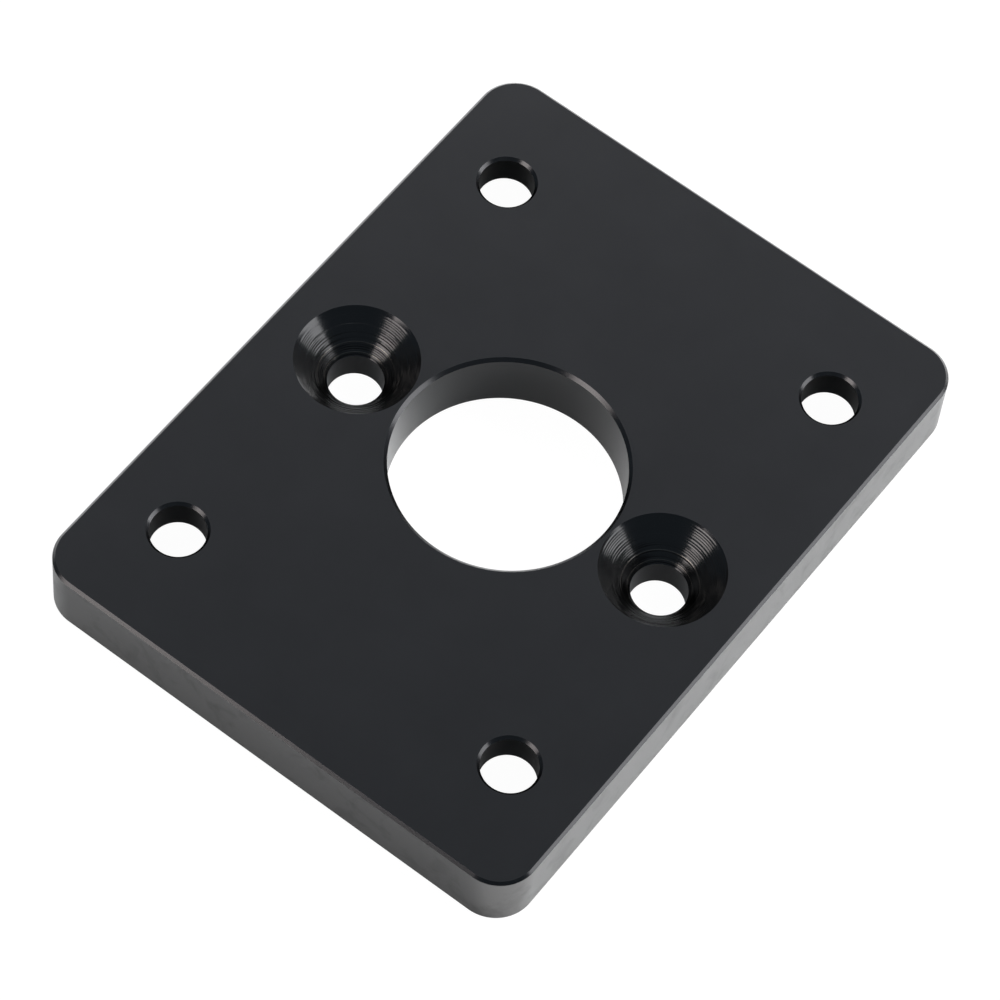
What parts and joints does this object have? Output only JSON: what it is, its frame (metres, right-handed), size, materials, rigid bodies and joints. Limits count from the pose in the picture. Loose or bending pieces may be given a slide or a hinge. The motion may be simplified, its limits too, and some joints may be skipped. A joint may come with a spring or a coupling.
{
  "type": "brake booster blanking plate",
  "caption": "Rectangular plate with rounded corners, a large central bore, stud holes near the corners with nut recesses behind, and countersunk screw holes on either side of the bore.",
  "frame": {"origin": "centre of the back face, where the axis of the central bore meets it", "axes": "+X along the line through the countersunk holes, across the plate's width; +Y along its length; +Z out of the countersunk face, which meets the firewall"},
  "size_m": [0.0966, 0.127, 0.0127],
  "materials": {
    "anodised_aluminium": "satin black anodised"
  },
  "bodies": {
    "root": {"plate": "anodised_aluminium"}
  },
  "joints": []
}
